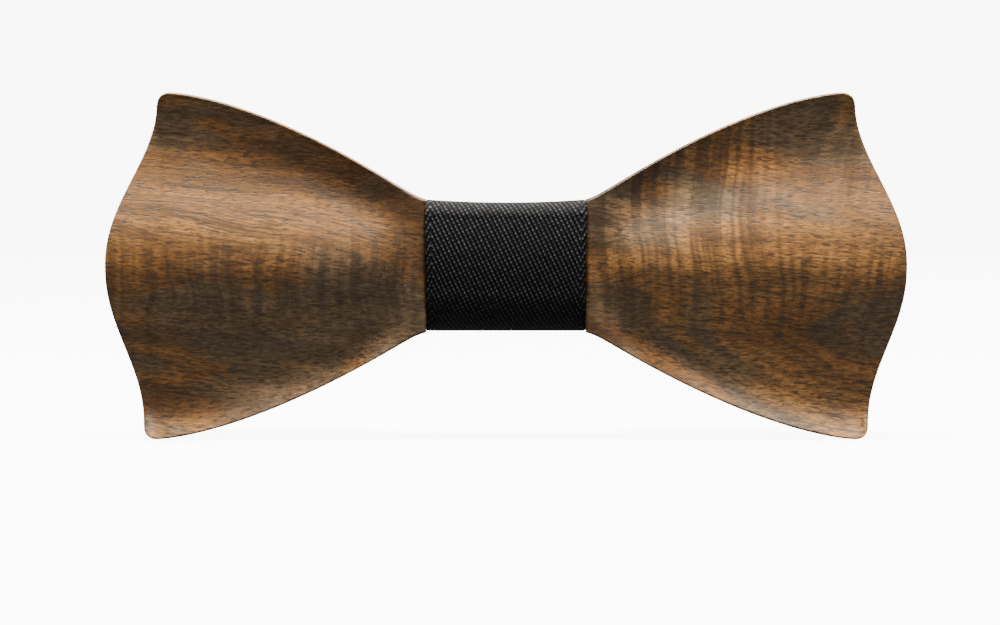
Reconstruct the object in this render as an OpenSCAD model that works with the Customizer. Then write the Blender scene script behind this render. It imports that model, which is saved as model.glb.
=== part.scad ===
// Carved wooden bow tie with a fabric knot and an adjustable neck strap.
// Frame: X to the wearer's left, Y from front to back, Z up, millimetres.
// The origin is the centre of the knot's flat back face, which rests on the collar.
// The strap passes between the wood and the back of the knot, and is stored folded
// in three zigzag layers behind each wing, with a hook at one end and an eye at the other.

/* [Bow] */
// Width across both wings at mid height
bow_width = 120.2; // [112:0.2:126]
// Height of the wings' top corners above the centre
top_height = 26.2; // [24:0.1:28]
// Depth of the wings' bottom corners below the centre
bottom_height = 26.1; // [24:0.1:28]
// How far the top corners sit in from the widest point
top_inset = 7.4; // [5:0.1:9]
// How far the bottom corners sit in from the widest point
bottom_inset = 5.4; // [4:0.1:9]
// Radius of the wings' four corners
corner_r = 2; // [1.5:0.1:2.5]
// Thickness of the wood out in the wings
wing_t = 3.6; // [3:0.1:4.5]
// Height of the carved ridge and lips, as a share of the wing's half height
relief = 0.11; // [0.06:0.005:0.13]
// Height of the lip along the bottom edge, from the valley at -1 to the ridge at 1
lip = 0.3; // [0.2:0.1:0.9]

/* [Knot] */
// Width of the fabric band round the middle
knot_width = 24.2; // [20:0.2:28]
// Height of the band
knot_height = 20; // [19:0.2:21]
// Depth of the knot, from its front to the collar
knot_depth = 8.8; // [8.6:0.1:10]
// Thickness of the band's fabric
band_t = 1; // [0.8:0.1:1.2]

/* [Neck strap] */
// Width of the strap
strap_w = 16; // [12:0.5:16]
// Thickness of the strap
strap_t = 0.7; // [0.5:0.1:0.8]
// Distance from the centre to the outer folds
outer_fold = 54; // [52:0.5:56]
// Distance from the centre to the inner folds
inner_fold = 17; // [16:0.5:19]

/* [Clasp] */
// Thickness of the clasp's sheet metal and bars
metal_t = 1; // [0.8:0.1:1.1]
// Width of the hook's tongue
tongue_w = 6; // [4:0.5:8]
// Height of the opening in the eye
eye_w = 12; // [10:0.5:13]
// Distance between the outer bars of the slide
slide_l = 8; // [8:0.5:9]

/* [Hidden] */
$fn = 48;

wood_colour = [0.45, 0.28, 0.14];
band_colour = [0.05, 0.05, 0.055];
strap_colour = [0.07, 0.07, 0.075];
thread_colour = [0.12, 0.12, 0.12];
metal_colour = [0.78, 0.77, 0.74];

// The wood. Every section is a ring of points: the front from bottom to top, then the back
// from top to bottom. Sections run from the left wing's outer edge to the right one's.
half_width = bow_width / 2;
knot_half = knot_width / 2;
edge_root = 9.5;
edge_floor = 9.8;
edge_power = 1.53;
flare_stop = 0.7;
flare_power = 1.1;
corner_share = 1 - sin(45);
top_valley = 0.8;
bottom_valley = 0.69;
relief_from = 13;
relief_over = 8;
wood_back = 2.4;
shoulder_t = knot_depth - 0.7 - wood_back;
shoulder_over = 16;
rim_r = 1.3;
rim_flat = 0.2;
waist_half = knot_height / 2 - band_t - 0.1;
waist_back = wood_back + 0.3;
waist_t = knot_depth - band_t - 0.05 - waist_back;
waist_r = 2.4;
across = 28;
along = 26;

function smooth(v) = let (c = min(max(v, 0), 1)) c * c * (3 - 2 * c);
function soft_max(a, b) = pow(pow(a, 16) + pow(b, 16), 1 / 16);

function corner_x(inset) = half_width - inset - corner_r;
function edge_height(x, height, inset) =
    let (cx = corner_x(inset), past = x - cx)
    past < 0
        ? soft_max(edge_floor, height - (height - edge_root) * pow(past / (knot_half - cx), edge_power))
        : height - corner_r + sqrt(pow(corner_r, 2) - pow(min(past, corner_r * sin(45)), 2));
function outer_x(z, height, inset) =
    z < height - corner_r
        ? half_width - inset * pow((1 - cos(180 * z / (height - flare_stop))) / 2, flare_power)
        : corner_x(inset) + sqrt(pow(corner_r, 2) - pow(z - height + corner_r, 2));

function half_height(x, t) =
    t < 0 ? edge_height(x, bottom_height, bottom_inset) : edge_height(x, top_height, top_inset);
function wing_end(t) =
    t < 0
        ? outer_x(-t * (bottom_height - corner_r * corner_share), bottom_height, bottom_inset)
        : outer_x(t * (top_height - corner_r * corner_share), top_height, top_inset);

function carving(t) =
    let (a = abs(t), valley = t < 0 ? bottom_valley : top_valley)
    a < valley
        ? cos(180 * a / valley)
        : -1 + (1 + lip) * (1 - cos(90 * (a - valley) / (1 - bottom_valley)));
function rise(x, t) =
    relief * (half_height(x, 1) + half_height(x, -1)) / 2
        * smooth((x - relief_from) / relief_over) * (1 + carving(t));
function thickness(x) =
    wing_t + (shoulder_t - wing_t) * (1 - smooth((x - knot_half) / shoulder_over));
function rounding(from_edge, r) =
    rim_flat + (1 - rim_flat) * sqrt(1 - pow(1 - min(from_edge / r, 1), 2));

steps = [for (j = [0:across]) sin(180 * j / across - 90)];
ring_size = 2 * (across + 1);

function wing_point(side, s, t, front) =
    let (
        x = knot_half + s * (wing_end(t) - knot_half),
        from_edge = min((1 - abs(t)) * half_height(x, t), (1 - s) * (wing_end(t) - knot_half)),
        half_t = thickness(x) / 2,
        middle = wood_back + rise(x, t) + half_t
    )
    [side * x, -middle - front * half_t * rounding(from_edge, rim_r), t * half_height(x, t)];
function waist_point(side, t, front) =
    [
        side * knot_half,
        -waist_back - waist_t / 2 - front * waist_t / 2 * rounding((1 - abs(t)) * waist_half, waist_r),
        t * waist_half
    ];
function wing_ring(side, s) = concat(
    [for (t = steps) wing_point(side, s, t, 1)],
    [for (t = steps) wing_point(side, s, -t, -1)]
);
function waist_ring(side) = concat(
    [for (t = steps) waist_point(side, t, 1)],
    [for (t = steps) waist_point(side, -t, -1)]
);

// The strap lies in layers behind the wood. These are the layers' middles, front to back.
strap_y = -wood_back + 0.4 + strap_t / 2;
layer_one = 0.8;
layer_two = 2.2;
layer_three = 4.2;
gap = 0.1;
bar_r = metal_t / 2;
turn_r = bar_r + gap + strap_t / 2;

// The slide's bars lie behind the strap that runs under them. The strap's own end is sewn
// round the middle bar, and the running strap passes over that.
slide_from = outer_fold - 4;
slide_y = layer_three + turn_r;
slide_bars = [slide_from, slide_from - slide_l / 2, slide_from - slide_l];
under_return = layer_three - strap_t - gap;
over_middle = slide_y + turn_r + strap_t + gap;
slide_end = slide_from - slide_l - 1.5;
frame_z = strap_w / 2 + 0.4;
frame_w = 1.2;
lead_end = slide_from + frame_w;

// The hook hangs on a bar in the strap's loop, and the eye on a bar in the sewn end.
hook_x = 34;
hook_y = under_return + turn_r;
hook_cross = hook_x - 4.6;
cross_w = 1.6;
hook_reach = hook_x - 15;
hook_throat = 1.2;
eye_x = 30;
eye_y = layer_three + turn_r;
eye_cross = eye_x - 4;
eye_end = eye_cross - frame_w;
eye_l = 5;
eye_rim = 1.3;
sewn_y = layer_three + strap_t + gap;

// The seam that closes the knot's band is low on its flat back. Threads are this thick.
thread = 0.2;
seam_z = -6;
seam_count = 9;
seam_pitch = 2.4;
seam_l = 1.6;
seam_depth = 0.3;
seam_sunk = 0.05;
tack_l = 1.2;
tack_count = 12;
tack_side = 1.5;

function arc(x, y, r, from, to, count = 12) =
    [for (i = [0:count]) let (a = from + (to - from) * i / count) [x + r * cos(a), y + r * sin(a)]];
function heading(p, i) =
    let (d = p[min(i + 1, len(p) - 1)] - p[max(i - 1, 0)]) d / norm(d);
function side_of(p, i, w) = p[i] + w * [-heading(p, i)[1], heading(p, i)[0]];
function ribbon(p, w) = concat(
    [for (i = [0:len(p) - 1]) side_of(p, i, w / 2)],
    [for (i = [len(p) - 1:-1:0]) side_of(p, i, -w / 2)]
);

// A strip that follows points in the XY plane and stands on its edge along Z
module strip(points, width, t) {
    linear_extrude(width, center = true) polygon(ribbon(points, t));
}

// A flat stretch of strap between two distances from the centre
module strap_run(from, to, y) {
    translate([from, y - strap_t / 2, -strap_w / 2]) cube([to - from, strap_t, strap_w]);
}

// A half turn of strap from one layer to the next, open towards the centre when outwards is 1
module strap_fold(x, low, high, outwards) {
    r = (high - low) / 2;
    translate([x, (low + high) / 2, -strap_w / 2])
        rotate([0, 0, outwards > 0 ? -90 : 90])
            rotate_extrude(angle = 180)
                translate([r - strap_t / 2, 0]) square([strap_t, strap_w]);
}

module on_left() {
    mirror([1, 0, 0]) children();
}

// A plate of sheet metal that is as high as the clasp's frames
module frame_plate(from, to, y) {
    translate([from, y - metal_t / 2, -frame_z - frame_w])
        cube([to - from, metal_t, 2 * (frame_z + frame_w)]);
}

// A row of short stitches across the strap, standing proud of the face at y
module bartack(x, y) {
    pitch = (strap_w - 2 * tack_side) / (tack_count - 1);
    for (i = [0:tack_count - 1])
        translate([x - tack_l / 2, y, -strap_w / 2 + tack_side + i * pitch - thread])
            cube([tack_l, thread, 2 * thread]);
}

module bow_body() {
    rings = concat(
        [for (k = [0:along]) wing_ring(-1, sin(90 * (1 - k / along)))],
        [waist_ring(-1), waist_ring(1)],
        [for (k = [0:along]) wing_ring(1, sin(90 * k / along))]
    );
    last = len(rings) - 1;
    points = [for (ring = rings) each ring];
    walls = [
        for (k = [0:last - 1], j = [0:ring_size - 1])
            let (
                a = k * ring_size + j,
                b = k * ring_size + (j + 1) % ring_size,
                c = a + ring_size,
                d = b + ring_size
            )
            each [[a, b, c], [b, d, c]]
    ];
    ends = [
        for (j = [0:across - 1])
            let (
                a = j,
                b = j + 1,
                c = ring_size - 1 - j,
                d = ring_size - 2 - j,
                far = last * ring_size
            )
            each [[a, c, b], [b, c, d], [far + a, far + b, far + c], [far + b, far + d, far + c]]
    ];
    color(wood_colour) polyhedron(points, concat(walls, ends));
}

// Outline of the band's loop, drawn with its depth along X and its height along Y
module band_outline(inset, back) {
    front_r = 3.2 - inset;
    back_r = 1.8 - inset;
    h = knot_height / 2 - inset;
    front = -knot_depth + inset;
    polygon(concat(
        arc(back - back_r, -h + back_r, back_r, -90, 0, 6),
        arc(back - back_r, h - back_r, back_r, 0, 90, 6),
        arc(front + front_r, h - front_r, front_r, 90, 180, 8),
        arc(front + front_r, -h + front_r, front_r, 180, 270, 8)
    ));
}

// The row of stitches on the knot's back, or the pockets that they lie in
module seam_row(from, to) {
    for (i = [0:seam_count - 1])
        translate([(i - (seam_count - 1) / 2) * seam_pitch - seam_l / 2, from, seam_z - thread])
            cube([seam_l, to - from, 2 * thread]);
}

module knot_band() {
    color(band_colour) difference() {
        translate([-knot_half, 0, 0]) rotate([90, 0, 90]) linear_extrude(knot_width)
            difference() {
                band_outline(0, 0);
                band_outline(band_t, -band_t);
            }
        seam_row(-seam_depth, band_t);
    }
}

module knot_seam() {
    color(thread_colour) seam_row(-seam_depth, -seam_sunk);
}

module strap_centre() {
    color(strap_colour) strap_run(-outer_fold, outer_fold, strap_y);
}

module fold_one() {
    color(strap_colour) strap_fold(outer_fold, strap_y, layer_one, 1);
}

module strap_one() {
    color(strap_colour) strap_run(inner_fold, outer_fold, layer_one);
}

module fold_two() {
    color(strap_colour) strap_fold(inner_fold, layer_one, layer_two, -1);
}

module strap_two() {
    color(strap_colour) strap_run(inner_fold, outer_fold, layer_two);
}

module fold_three() {
    color(strap_colour) strap_fold(outer_fold, layer_two, layer_three, 1);
}

module left_fold_one() {
    on_left() fold_one();
}

module left_strap_one() {
    on_left() strap_one();
}

module left_fold_two() {
    on_left() fold_two();
}

module left_strap_two() {
    on_left() strap_two();
}

module left_fold_three() {
    on_left() fold_three();
}

module left_strap_end() {
    path = concat(
        [[outer_fold, layer_three], [eye_x + 1, layer_three]],
        arc(eye_x, eye_y, turn_r, 270, 90, 10),
        [[eye_x + 0.6, eye_y + turn_r], [eye_x + 3, sewn_y], [eye_x + 4, sewn_y], [eye_x + 9, sewn_y]]
    );
    color(strap_colour) on_left() strip(path, strap_w, strap_t);
}

module eye_bartack() {
    color(thread_colour) on_left() {
        bartack(eye_x + 5, sewn_y + strap_t / 2);
        bartack(eye_x + 7.6, sewn_y + strap_t / 2);
    }
}

module strap_eye() {
    color(metal_colour) on_left() {
        translate([eye_x, eye_y, 0]) cylinder(r = bar_r, h = 2 * (frame_z + frame_w), center = true);
        difference() {
            frame_plate(eye_end, eye_x, eye_y);
            translate([eye_cross, eye_y - metal_t, -frame_z]) cube([eye_x, 2 * metal_t, 2 * frame_z]);
        }
        difference() {
            translate([eye_end - eye_l - eye_rim, eye_y - metal_t / 2, -eye_w / 2 - eye_rim])
                cube([eye_l + eye_rim + frame_w / 2, metal_t, eye_w + 2 * eye_rim]);
            translate([eye_end - eye_l, eye_y - metal_t, -eye_w / 2])
                cube([eye_l, 2 * metal_t, eye_w]);
        }
    }
}

module right_fold_one() {
    fold_one();
}

module right_strap_one() {
    strap_one();
}

module right_fold_two() {
    fold_two();
}

module right_strap_two() {
    strap_two();
}

module right_fold_three() {
    fold_three();
}

module right_strap_lead() {
    color(strap_colour) strap_run(lead_end, outer_fold, layer_three);
}

// The stretch inside the slide: the running strap over the middle bar, and the sewn end round it
module right_strap_weave() {
    mid = slide_bars[1];
    running = [
        [lead_end, layer_three],
        [slide_from - 0.8, layer_three],
        [mid + 1.6, over_middle - 0.6],
        [mid + 0.8, over_middle],
        [mid - 0.8, over_middle],
        [mid - 1.6, over_middle - 0.6],
        [slide_bars[2] + 0.8, layer_three],
        [slide_end + 0.5, layer_three],
        [slide_end, layer_three]
    ];
    sewn = concat(
        [[slide_end, under_return], [slide_bars[2] + 0.9, under_return]],
        [[mid - 1.4, layer_three], [mid - 0.2, layer_three]],
        arc(mid, slide_y, turn_r, -90, 90, 10),
        [[mid - 0.6, slide_y + turn_r], [mid - 1.4, slide_y + turn_r - 0.35]]
    );
    color(strap_colour) {
        strip(running, strap_w, strap_t);
        strip(sewn, strap_w, strap_t);
    }
}

module slide_buckle() {
    color(metal_colour) {
        difference() {
            frame_plate(slide_bars[2] - frame_w / 2, slide_bars[0] + frame_w / 2, slide_y);
            translate([slide_bars[2] + frame_w / 2, slide_y - metal_t, -frame_z])
                cube([slide_l - frame_w, 2 * metal_t, 2 * frame_z]);
        }
        translate([slide_bars[1], slide_y, 0]) cylinder(r = bar_r, h = 2 * frame_z + 1, center = true);
    }
}

module slide_bartack() {
    color(thread_colour) bartack(slide_end + 1, under_return - strap_t / 2 - thread);
}

module right_strap_reach() {
    path = [
        [slide_end, layer_three],
        [slide_end - 0.5, layer_three],
        [hook_x + 2, hook_y + turn_r],
        [hook_x + 1, hook_y + turn_r]
    ];
    color(strap_colour) strip(path, strap_w, strap_t);
}

module right_strap_return() {
    color(strap_colour) strap_run(hook_x + 1, slide_end, under_return);
}

module right_strap_loop() {
    path = concat(
        [[hook_x + 1, hook_y + turn_r]],
        arc(hook_x, hook_y, turn_r, 90, 270, 10),
        [[hook_x + 1, hook_y - turn_r]]
    );
    color(strap_colour) strip(path, strap_w, strap_t);
}

module strap_hook() {
    bend = hook_throat / 2 + metal_t / 2;
    tongue = concat(
        [[hook_cross, hook_y], [hook_reach + 2, hook_y]],
        arc(hook_reach, hook_y + bend, bend, 270, 90, 10),
        [[hook_reach + 3, hook_y + 2 * bend], [hook_reach + 4.4, hook_y + 2 * bend + 0.5]]
    );
    color(metal_colour) {
        translate([hook_x, hook_y, 0]) cylinder(r = bar_r, h = 2 * (frame_z + frame_w), center = true);
        difference() {
            frame_plate(hook_cross - cross_w / 2, hook_x, hook_y);
            translate([hook_cross + cross_w / 2, hook_y - metal_t, -frame_z])
                cube([hook_x, 2 * metal_t, 2 * frame_z]);
        }
        strip(tongue, tongue_w, metal_t);
    }
}

bow_body();
knot_band();
knot_seam();
strap_centre();
left_fold_one();
left_strap_one();
left_fold_two();
left_strap_two();
left_fold_three();
left_strap_end();
eye_bartack();
strap_eye();
right_fold_one();
right_strap_one();
right_fold_two();
right_strap_two();
right_fold_three();
right_strap_lead();
right_strap_weave();
slide_buckle();
slide_bartack();
right_strap_reach();
right_strap_return();
right_strap_loop();
strap_hook();
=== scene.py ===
"""Looks of the carved wooden bow tie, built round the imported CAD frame.

Lengths are metres in the frame's axes: X along the wings, Y from front to back, Z up.
"""

import math

import bmesh
import bpy
import numpy as np
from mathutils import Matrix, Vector


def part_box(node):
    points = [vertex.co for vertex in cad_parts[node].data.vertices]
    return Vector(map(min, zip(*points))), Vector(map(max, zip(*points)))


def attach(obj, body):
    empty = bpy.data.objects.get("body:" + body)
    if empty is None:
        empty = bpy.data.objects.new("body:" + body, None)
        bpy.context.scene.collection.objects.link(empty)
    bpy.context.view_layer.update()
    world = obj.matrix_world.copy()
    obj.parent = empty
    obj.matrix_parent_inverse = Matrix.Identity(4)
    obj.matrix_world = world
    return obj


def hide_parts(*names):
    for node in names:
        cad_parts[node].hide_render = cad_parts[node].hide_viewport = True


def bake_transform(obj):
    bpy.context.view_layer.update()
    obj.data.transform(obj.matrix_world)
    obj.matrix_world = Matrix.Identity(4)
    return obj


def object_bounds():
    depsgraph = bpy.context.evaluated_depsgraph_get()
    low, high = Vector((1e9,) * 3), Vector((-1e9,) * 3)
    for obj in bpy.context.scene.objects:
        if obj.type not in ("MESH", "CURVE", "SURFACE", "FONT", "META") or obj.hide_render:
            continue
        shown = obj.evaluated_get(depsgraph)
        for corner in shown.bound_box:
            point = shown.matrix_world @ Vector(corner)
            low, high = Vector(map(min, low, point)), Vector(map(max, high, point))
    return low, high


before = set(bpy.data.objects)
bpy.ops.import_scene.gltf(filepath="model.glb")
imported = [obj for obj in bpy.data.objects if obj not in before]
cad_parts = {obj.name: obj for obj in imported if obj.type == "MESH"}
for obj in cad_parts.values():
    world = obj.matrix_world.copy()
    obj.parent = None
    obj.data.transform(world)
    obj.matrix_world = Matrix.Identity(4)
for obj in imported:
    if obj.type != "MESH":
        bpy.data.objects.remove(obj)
CAD_LOW, CAD_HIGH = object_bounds()
MM = 0.001


# ---------------------------------------------------------------- camera, light and floor

# The lens and the sensor are in millimetres, and the elevation is in degrees.
LENS, SENSOR, ELEVATION = 110, 36, 2.5
PICTURE_WIDTH, PICTURE_MIDDLE = 151.7 * MM, Vector((-0.9 * MM, -5 * MM, -7.1 * MM))

# Name, place, width and height, power in watts, and colour of each lamp. All of them point at the tie.
LAMPS = (
    ("key", (-0.03, -0.06, 0.62), (0.5, 0.16), 19, (1, 0.96, 0.90)),
    ("front_fill", (0.25, -0.9, 0.1), (0.6, 0.6), 0.5, (1, 1, 1)),
    ("under_fill", (0, -0.5, -0.4), (0.6, 0.4), 0.35, (1, 1, 1)),
    ("back_fill", (0.3, 0.8, 0.5), (0.6, 0.6), 6, (1, 1, 1)),
)

# How strong the sky is as the camera sees it and as gloss shows it. As light, it grows with height.
SHOWN_SKY, GLOSS_SKY = 9.0, 0.33
SKY_HEIGHTS, SKY_LIGHT = (-0.4, 0.8), (0.05, 0.42)
SKY_COLOUR = (1, 0.99, 0.975)
FLOOR_SIZE, FLOOR_GAP, FLOOR_DIMMER = 12, 0.05 * MM, 0.4


def aim(obj, target):
    """Turns a camera or a lamp so that it looks at a point."""
    obj.rotation_euler = (Vector(target) - obj.location).to_track_quat("-Z", "Y").to_euler()


def add_camera():
    """A long lens straight in front and a little above, with the tie above the middle of the picture."""
    elevation = math.radians(ELEVATION)
    distance = PICTURE_WIDTH * LENS / SENSOR
    data = bpy.data.cameras.new("camera")
    data.lens, data.sensor_width = LENS, SENSOR
    data.clip_start, data.clip_end = 0.01, 50
    camera = bpy.data.objects.new("camera", data)
    bpy.context.scene.collection.objects.link(camera)
    camera.location = PICTURE_MIDDLE + distance * Vector((0, -math.cos(elevation), math.sin(elevation)))
    aim(camera, PICTURE_MIDDLE)
    bpy.context.scene.camera = camera


def add_lamp(name, location, size, power, colour):
    data = bpy.data.lights.new(name, "AREA")
    data.shape = "RECTANGLE"
    data.size, data.size_y = size
    data.energy = power
    data.color = colour
    lamp = bpy.data.objects.new(name, data)
    bpy.context.scene.collection.objects.link(lamp)
    lamp.location = location
    aim(lamp, (0, 0, 0))


def add_studio():
    """A pale floor and sky, a broad key light from above, and weak fills in front, below and behind."""
    add_sky()
    for lamp in LAMPS:
        add_lamp(*lamp)
    bpy.ops.mesh.primitive_plane_add(size=FLOOR_SIZE, location=(0, 0, CAD_LOW[2] - FLOOR_GAP))
    floor = bpy.context.object
    floor.name = "studio_floor"
    floor.data.materials.append(floor_material())
    floor.visible_diffuse = False
    floor.visible_glossy = False


def add_sky():
    """A sky that looks pale and shows evenly in gloss, but lights the tie only dimly, and more from above."""
    world = bpy.data.worlds.new("studio")
    bpy.context.scene.world = world
    world.use_nodes = True
    nodes, links = world.node_tree.nodes, world.node_tree.links
    sky = nodes["Background"]
    sky.inputs["Color"].default_value = (*SKY_COLOUR, 1)
    height = nodes.new("ShaderNodeSeparateXYZ")
    links.new(nodes.new("ShaderNodeTexCoord").outputs["Generated"], height.inputs[0])
    dim = nodes.new("ShaderNodeMapRange")
    for socket, value in zip(list(dim.inputs)[1:5], (*SKY_HEIGHTS, *SKY_LIGHT)):
        socket.default_value = value
    links.new(height.outputs["Z"], dim.inputs[0])
    strength = dim.outputs[0]
    ray = nodes.new("ShaderNodeLightPath")
    for kind, value in (("Is Glossy Ray", GLOSS_SKY), ("Is Camera Ray", SHOWN_SKY)):
        chosen = nodes.new("ShaderNodeMix")
        chosen.inputs[3].default_value = value
        links.new(ray.outputs[kind], chosen.inputs[0])
        links.new(strength, chosen.inputs[2])
        strength = chosen.outputs[0]
    links.new(strength, sky.inputs["Strength"])


# ---------------------------------------------------------------- materials


class Shader:
    """A material with a Principled shader, and short calls that add and join nodes."""

    def __init__(self, name):
        self.material = bpy.data.materials.new(name)
        self.material.use_nodes = True
        self.tree = self.material.node_tree
        self.surface = self.tree.nodes["Principled BSDF"]

    def node(self, kind, **settings):
        made = self.tree.nodes.new("ShaderNode" + kind)
        for key, value in settings.items():
            setattr(made, key, value)
        return made

    def feed(self, socket, value):
        """Joins a socket to another, or sets its value."""
        if isinstance(value, bpy.types.NodeSocket):
            self.tree.links.new(value, socket)
        elif hasattr(value, "__len__") and socket.type == "RGBA" and len(value) == 3:
            socket.default_value = (*value, 1)
        else:
            socket.default_value = value

    def feed_named(self, node, **values):
        """Feeds a node's sockets by their names, with _ for a space."""
        for key, value in values.items():
            self.feed(node.inputs[key.replace("_", " ")], value)
        return node

    def set(self, **values):
        """Feeds the Principled shader's own sockets."""
        self.feed_named(self.surface, **values)

    def maths(self, operation, *values):
        n = self.node("Math", operation=operation)
        for socket, value in zip(n.inputs, values):
            self.feed(socket, value)
        return n.outputs[0]

    def times(self, first, *others):
        for other in others:
            first = self.maths("MULTIPLY", first, other)
        return first

    def plus(self, first, *others):
        for other in others:
            first = self.maths("ADD", first, other)
        return first

    def apart(self, value, middle):
        """How far a value is from a middle, on either side."""
        return self.maths("ABSOLUTE", self.maths("SUBTRACT", value, middle))

    def position(self, source="Object"):
        return self.node("TexCoord").outputs[source]

    def millimetres(self, turn=(0, 0, 0)):
        """The place on the object in millimetres, turned if need be."""
        return self.scaled(self.position(), (1 / MM, 1 / MM, 1 / MM), turn)

    def scaled(self, vector, scale, turn=(0, 0, 0), offset=(0, 0, 0)):
        n = self.feed_named(self.node("Mapping"), Vector=vector, Scale=scale, Rotation=turn, Location=offset)
        return n.outputs[0]

    def noise(self, vector, detail=2.0, roughness=0.5):
        n = self.node("TexNoise")
        self.feed_named(n, Vector=vector, Scale=1.0, Detail=detail, Roughness=roughness)
        return n.outputs["Fac"]

    def span(self, value, low, high, to_low=0.0, to_high=1.0, smooth=True):
        """Maps a stretch of values to another and holds its ends."""
        n = self.node("MapRange", interpolation_type="SMOOTHSTEP" if smooth else "LINEAR")
        for socket, v in zip(n.inputs, (value, low, high, to_low, to_high)):
            self.feed(socket, v)
        return n.outputs[0]

    def mix(self, share, a, b, blend="MIX"):
        n = self.node("Mix", data_type="RGBA", blend_type=blend)
        for socket, v in zip((n.inputs[0], n.inputs[6], n.inputs[7]), (share, a, b)):
            self.feed(socket, v)
        return n.outputs[2]

    def ramp(self, value, stops):
        """A colour ramp from (place, colour) stops."""
        n = self.node("ValToRGB")
        points = n.color_ramp.elements
        while len(points) < len(stops):
            points.new(0.5)
        for point, (place, colour) in zip(points, stops):
            point.position, point.color = place, (*colour, 1)
        self.feed(n.inputs[0], value)
        return n.outputs[0]

    def parts(self, vector):
        n = self.node("SeparateXYZ")
        self.feed(n.inputs[0], vector)
        return n.outputs

    def joined(self, x, y, z):
        n = self.node("CombineXYZ")
        for socket, v in zip(n.inputs, (x, y, z)):
            self.feed(socket, v)
        return n.outputs[0]

    def bump(self, height, distance, strength):
        n = self.feed_named(self.node("Bump"), Height=height, Distance=distance, Strength=strength)
        return n.outputs[0]


def floor_material():
    s = Shader("pale_floor")
    s.set(
        Base_Color=(0.80, 0.79, 0.77),
        Roughness=0.9,
        Emission_Color=SKY_COLOUR,
        Emission_Strength=SHOWN_SKY - FLOOR_DIMMER,
    )
    return s.material


# Places on a ramp and colours of walnut's growth layers, from dark heartwood to pale wood.
WALNUT_BROWNS = (
    (0.30, (0.150, 0.066, 0.019)),
    (0.44, (0.250, 0.106, 0.027)),
    (0.55, (0.360, 0.155, 0.038)),
    (0.70, (0.480, 0.235, 0.070)),
)
OLIVE, HAIRLINE, PORE = (0.165, 0.118, 0.066), (0.05, 0.024, 0.011), (0.040, 0.021, 0.010)


def wood_olive(s, layers, x, z):
    """Share of olive tone: patches, mostly along the top edges and in the hollows, partly painted shade."""
    patch = s.noise(s.scaled(layers, (0.055, 0.05, 0.11), offset=(2, 5, 7)))
    # These two masks paint shade: high on the wing and in the hollow below the ridge, the faces turn down
    # from the key.
    top_edge_shade = s.span(z, 12.0, 22.0, 0.0, 0.16)
    hollow_shade = s.span(s.apart(z, -9.5), 3.0, 8.0, 0.20, 0.0)
    # In the right wing's hollow the patches start only towards its outer end.
    share = s.plus(s.span(x, 0.0, 12.0, 1.0, 0.15), s.span(x, 34.0, 48.0, 0.0, 0.5))
    return s.span(s.plus(patch, top_edge_shade, s.times(hollow_shade, share)), 0.50, 0.66, 0.0, 0.72)


def wood_curl(s, mm, x, z):
    """Curly figure: soft bars across the grain, strongest on the right wing beside the knot."""
    sway = s.times(s.noise(s.scaled(mm, (0.04, 0.1, 0.06))), 5.0)
    lean = s.times(z, s.span(x, 40.0, 52.0, 0.0, -0.25))
    bars = s.noise(s.joined(s.times(s.plus(x, sway, lean), 0.62), 0.0, s.times(z, 0.035)), 1.5, 0.6)
    near = s.span(s.apart(x, 27.0), 9.0, 19.0, 1.0, 0.0)
    strong = s.times(near, s.span(z, -7.0, 2.0), 0.46)
    corner = s.times(s.span(x, 38.0, 46.0), s.span(z, 6.0, 14.0, 0.0, 0.34))
    crest = s.span(s.apart(z, -2.0), 2.0, 9.0, 0.34, 0.05)
    depth = s.maths("MAXIMUM", s.maths("MAXIMUM", strong, corner), crest)
    return s.plus(s.times(s.span(bars, 0.38, 0.60, -1.05, 0.75), depth), 1.0)


def wood_shade_and_tone(s, x, z):
    """Painted shade on the crest, facing away from the key; darker beside the knot, paler towards the bottom.
    """
    # Painted shade: the crest is darkened, as it faces away from the overhead key.
    crest = s.span(s.apart(z, 0.5), 1.5, 6.0, 0.74, 1.0)
    beside_knot = s.span(s.apart(x, 0.0), 14.0, 26.0, 0.76, 1.0)
    return s.times(crest, beside_knot, s.span(z, -10.5, -16.0, 1.0, 1.32))


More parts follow.
